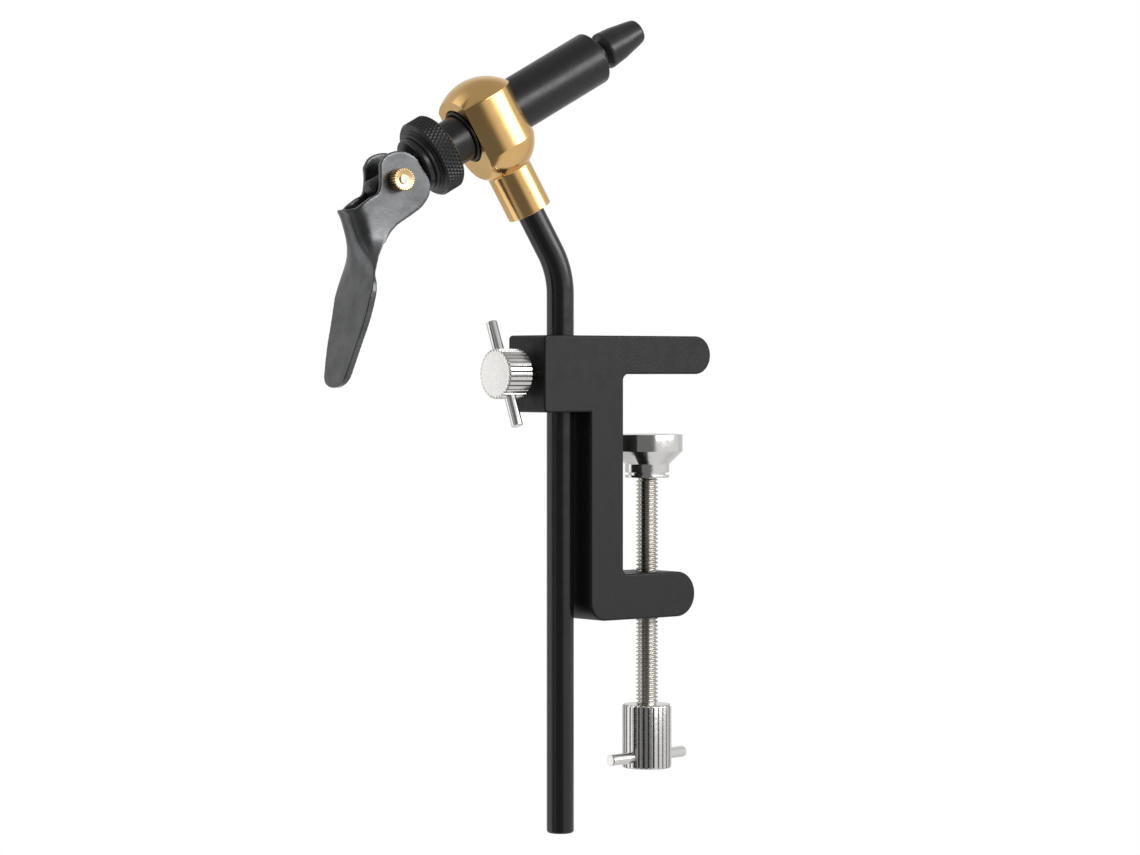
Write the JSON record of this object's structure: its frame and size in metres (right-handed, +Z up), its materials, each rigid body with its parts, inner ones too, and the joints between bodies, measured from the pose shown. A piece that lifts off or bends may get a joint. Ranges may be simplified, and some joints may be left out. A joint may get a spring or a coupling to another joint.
{
  "type": "fly-tying vise",
  "caption": "Bench vise on a C-clamp: bent stem, turned head, rotating barrel with cam-drawn collet jaws, adjusting collar and cam lever.",
  "frame": {"origin": "on the underside of the upper clamp arm, on the axis of the table screw", "axes": "+X along the clamp arms towards the table, +Z up, +Y completes a right-handed set"},
  "size_m": [0.1513, 0.0425, 0.2847],
  "materials": {
    "clamp_black": "satin, fine texture",
    "stem_black": "semi-gloss",
    "barrel_black": "satin black anodised",
    "jaw_black": "black oxide",
    "lever_black": "gunmetal, satin",
    "gold": "polished",
    "brass": "satin",
    "nickel": "bright nickel plate",
    "steel": "plain steel",
    "rubber_black": "matt",
    "nylon": "natural"
  },
  "bodies": {
    "clamp": {"clamp_frame": "clamp_black"},
    "pad": {"pressure_pad": "nickel", "pad_retaining_ring": "nickel"},
    "table_screw": {"table_screw": "steel", "table_knob": "nickel", "table_knob_bar": "nickel"},
    "lock_tip": {"stem_lock_tip": "brass"},
    "lock_screw": {"stem_lock_screw": "nickel", "stem_lock_knob": "nickel", "stem_lock_bar": "nickel"},
    "stem": {"stem": "stem_black", "head": "gold", "neck_set_screw": "steel", "tension_screw": "steel", "tension_plug": "nylon"},
    "barrel": {"barrel": "barrel_black", "nose_bush": "jaw_black", "rear_sleeve": "barrel_black", "friction_ring": "rubber_black", "return_spring": "steel"},
    "collar_washer": {"thrust_washer": "jaw_black"},
    "collar": {"adjusting_collar": "barrel_black"},
    "drawbar": {"drawbar": "jaw_black", "jaw_collet": "jaw_black"},
    "lever": {"cam_lever": "lever_black", "lever_pin": "steel", "pin_washers": "brass", "pin_nuts": "brass"}
  },
  "joints": [
    {"name": "table_screw_travel", "type": "slide", "parent": "clamp", "child": "pad", "axis": [0, 0, 1], "range_m": [-0.0325, 0.0205]},
    {"name": "table_screw_turn", "type": "hinge", "parent": "pad", "child": "table_screw", "pos_m": [0, 0, -0.08], "axis": [0, 0, 1], "range_deg": [-8291.8, 5230.4]},
    {"name": "stem_lock_travel", "type": "slide", "parent": "clamp", "child": "lock_tip", "axis": [1, 0, 0], "range_m": [-0.0039, 0]},
    {"name": "stem_lock_turn", "type": "hinge", "parent": "lock_tip", "child": "lock_screw", "pos_m": [-0.05975, 0, 0.00015], "axis": [1, 0, 0], "range_deg": [-1106, 0.5]},
    {"name": "stem_height", "type": "slide", "parent": "clamp", "child": "stem", "axis": [0, 0, 1], "range_m": [-0.013, 0.12]},
    {"name": "barrel_spin", "type": "hinge", "parent": "stem", "child": "barrel", "pos_m": [-0.06841, 0.00568, 0.08645], "axis": [0.8495, -0.1682, 0.5], "continuous": true},
    {"name": "collar_travel", "type": "slide", "parent": "barrel", "child": "collar_washer", "axis": [0.8495, -0.1682, 0.5], "range_m": [0, 0.002]},
    {"name": "collar_turn", "type": "hinge", "parent": "collar_washer", "child": "collar", "pos_m": [-0.08965, 0.00988, 0.07395], "axis": [0.8495, -0.1682, 0.5], "range_deg": [0, 719]},
    {"name": "jaw_draw", "type": "slide", "parent": "barrel", "child": "drawbar", "axis": [0.8495, -0.1682, 0.5], "range_m": [0, 0.000909], "deforming": ["return_spring"]},
    {"name": "lever_swing", "type": "hinge", "parent": "drawbar", "child": "lever", "pos_m": [-0.10392, 0.01271, 0.06555], "axis": [0.1942, 0.981, 0], "range_deg": [0, 95]}
  ],
  "couplings": [
    {"joint": "table_screw_turn", "follows": "table_screw_travel", "rad_per_m": 4452.7},
    {"joint": "stem_lock_turn", "follows": "stem_lock_travel", "rad_per_m": 4947.4},
    {"joint": "collar_travel", "follows": "collar_turn", "m_per_rad": 0.00015915},
    {"joint": "jaw_draw", "follows": "lever_swing", "m_per_rad": 0.0005428}
  ]
}
